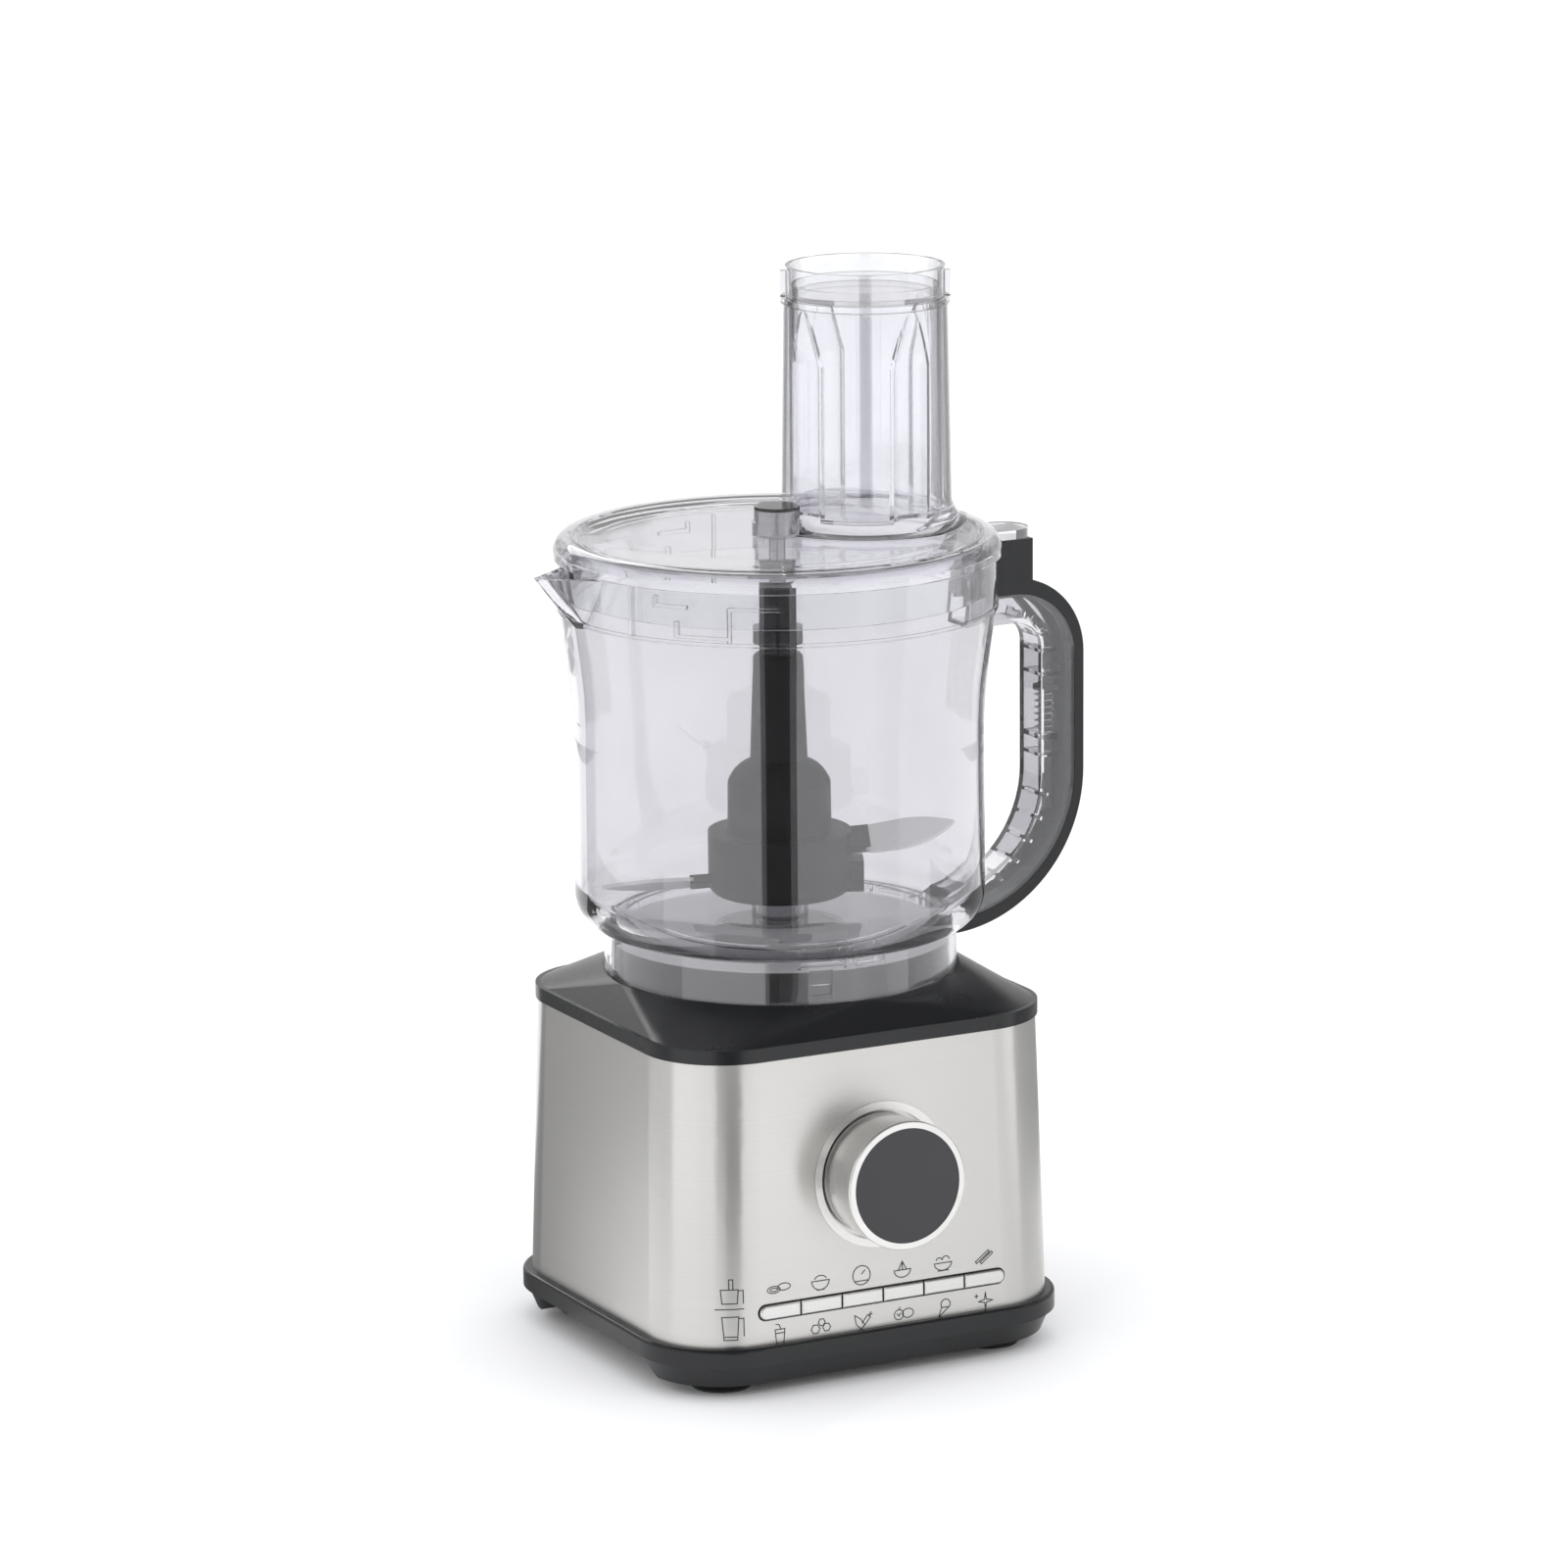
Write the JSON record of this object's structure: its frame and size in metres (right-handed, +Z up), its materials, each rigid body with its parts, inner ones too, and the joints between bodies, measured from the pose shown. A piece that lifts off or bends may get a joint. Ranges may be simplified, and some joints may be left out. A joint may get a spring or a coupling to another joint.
{
  "type": "food processor",
  "caption": "Compact food processor: steel-clad motor base with knob and key row, clear bowl with handle and spout, clear lid with feed chute and pusher, and a blade unit inside.",
  "frame": {"origin": "on the vertical drive axis, at the level of the feet", "axes": "+Z up along the drive axis; the knob faces -Y; the bowl's handle points to +X and its spout to -X"},
  "size_m": [0.2242, 0.1814, 0.398],
  "materials": {
    "black_plastic": "satin black moulded plastic",
    "rubber": "soft black rubber",
    "brushed_steel": "horizontally brushed stainless sheet",
    "grey_plastic": "satin grey plastic",
    "light_grey": "satin light grey plastic",
    "satin_metal": "satin metal",
    "key_silver": "silver-coated plastic",
    "knob_face": "charcoal satin plastic",
    "clear_plastic": "clear moulded plastic, faint cool tint",
    "hub_plastic": "charcoal plastic",
    "blade_steel": "ground stainless steel",
    "turned_steel": "turned steel",
    "inner_plastic": "black engineering plastic",
    "gear_plastic": "natural acetal",
    "pinion_steel": "machined steel",
    "core_steel": "stacked laminations",
    "bracket_metal": "die cast",
    "copper": "enamelled copper",
    "carbon": "carbon",
    "board": "coated board",
    "switch_plastic": "black plastic",
    "seal_rubber": "nitrile rubber"
  },
  "bodies": {
    "base": {"base_tray": "black_plastic", "suction_feet": "rubber", "steel_sleeve": "brushed_steel", "top_cover": "black_plastic", "turret_band": "grey_plastic", "turret_trim": "light_grey", "cord_gland": "inner_plastic", "case_screws": "turned_steel", "knob_bezel": "satin_metal", "encoder_body": "inner_plastic", "control_board": "board", "tact_switches": "switch_plastic", "button_guide": "inner_plastic", "stator_core": "core_steel", "field_windings": "copper", "lower_bracket": "bracket_metal", "upper_bracket": "bracket_metal", "motor_bearings": "turned_steel", "brush_holders": "inner_plastic", "carbon_brushes": "carbon", "gearbox_base": "gear_plastic", "gearbox_lid": "gear_plastic", "shaft_seal": "seal_rubber", "interlock_switch": "inner_plastic"},
    "rotor": {"motor_shaft": "turned_steel", "armature_core": "core_steel", "armature_windings": "copper", "commutator": "copper", "cooling_fan": "inner_plastic", "sun_pinion": "pinion_steel"},
    "carrier": {"planet_carrier": "gear_plastic", "output_coupling": "gear_plastic"},
    "planet_1": {"planet_gear_1": "gear_plastic"},
    "planet_2": {"planet_gear_2": "gear_plastic"},
    "planet_3": {"planet_gear_3": "gear_plastic"},
    "bowl": {"bowl": "clear_plastic", "handle_cover": "black_plastic", "interlock_spring": "turned_steel"},
    "interlock": {"interlock_slider": "inner_plastic"},
    "spindle": {"drive_spindle": "turned_steel", "spindle_coupling": "hub_plastic", "blade_hub": "hub_plastic", "upper_blade": "blade_steel", "lower_blade": "blade_steel", "hub_stem": "turned_steel", "guide_pin": "turned_steel"},
    "lid": {"lid": "clear_plastic", "lid_bush": "turned_steel"},
    "pusher": {"pusher": "clear_plastic", "pusher_cap": "clear_plastic"},
    "knob": {"knob_body": "satin_metal", "knob_disc": "knob_face", "encoder_shaft": "turned_steel"},
    "key_1": {"speed_key_1": "key_silver"},
    "key_2": {"speed_key_2": "key_silver"},
    "key_3": {"speed_key_3": "key_silver"},
    "key_4": {"speed_key_4": "key_silver"},
    "key_5": {"speed_key_5": "key_silver"},
    "key_6": {"speed_key_6": "key_silver"}
  },
  "joints": [
    {"name": "motor_spin", "type": "hinge", "parent": "base", "child": "rotor", "pos_m": [0, 0, 0.068], "axis": [0, 0, 1], "continuous": true},
    {"name": "carrier_spin", "type": "hinge", "parent": "base", "child": "carrier", "pos_m": [0, 0, 0.125], "axis": [0, 0, 1], "continuous": true},
    {"name": "planet_1_spin", "type": "hinge", "parent": "carrier", "child": "planet_1", "pos_m": [0.0165, 0, 0.117], "axis": [0, 0, 1], "continuous": true},
    {"name": "planet_2_spin", "type": "hinge", "parent": "carrier", "child": "planet_2", "pos_m": [-0.00825, 0.01429, 0.117], "axis": [0, 0, 1], "continuous": true},
    {"name": "planet_3_spin", "type": "hinge", "parent": "carrier", "child": "planet_3", "pos_m": [-0.00825, -0.01429, 0.117], "axis": [0, 0, 1], "continuous": true},
    {"name": "bowl_lift", "type": "slide", "parent": "base", "child": "bowl", "axis": [0, 0, 1], "range_m": [0, 0.06]},
    {"name": "spindle_spin", "type": "hinge", "parent": "bowl", "child": "spindle", "pos_m": [0, 0, 0.2], "axis": [0, 0, 1], "continuous": true},
    {"name": "interlock_press", "type": "slide", "parent": "bowl", "child": "interlock", "axis": [0, 0, -1], "range_m": [0, 0.0025], "stiffness_N_per_m": 400, "deforming": ["interlock_spring"]},
    {"name": "lid_lift", "type": "slide", "parent": "bowl", "child": "lid", "axis": [0, 0, 1], "range_m": [0, 0.08]},
    {"name": "pusher_lift", "type": "slide", "parent": "lid", "child": "pusher", "axis": [0, 0, 1], "range_m": [0, 0.075]},
    {"name": "knob_turn", "type": "hinge", "parent": "base", "child": "knob", "pos_m": [0, -0.0772, 0.077], "axis": [0, 0.9996, -0.0271], "range_deg": [0, 270]},
    {"name": "key_1_press", "type": "slide", "parent": "base", "child": "key_1", "axis": [0, 0.9996, -0.0271], "range_m": [0, 0.0012], "stiffness_N_per_m": 500},
    {"name": "key_2_press", "type": "slide", "parent": "base", "child": "key_2", "axis": [0, 0.9996, -0.0271], "range_m": [0, 0.0012], "stiffness_N_per_m": 500},
    {"name": "key_3_press", "type": "slide", "parent": "base", "child": "key_3", "axis": [0, 0.9996, -0.0271], "range_m": [0, 0.0012], "stiffness_N_per_m": 500},
    {"name": "key_4_press", "type": "slide", "parent": "base", "child": "key_4", "axis": [0, 0.9996, -0.0271], "range_m": [0, 0.0012], "stiffness_N_per_m": 500},
    {"name": "key_5_press", "type": "slide", "parent": "base", "child": "key_5", "axis": [0, 0.9996, -0.0271], "range_m": [0, 0.0012], "stiffness_N_per_m": 500},
    {"name": "key_6_press", "type": "slide", "parent": "base", "child": "key_6", "axis": [0, 0.9996, -0.0271], "range_m": [0, 0.0012], "stiffness_N_per_m": 500}
  ],
  "couplings": [
    {"joint": "carrier_spin", "follows": "motor_spin", "ratio": 0.18182},
    {"joint": "planet_1_spin", "follows": "motor_spin", "ratio": -0.46753},
    {"joint": "planet_2_spin", "follows": "motor_spin", "ratio": -0.46753},
    {"joint": "planet_3_spin", "follows": "motor_spin", "ratio": -0.46753},
    {"joint": "spindle_spin", "follows": "motor_spin", "ratio": 0.18182}
  ]
}
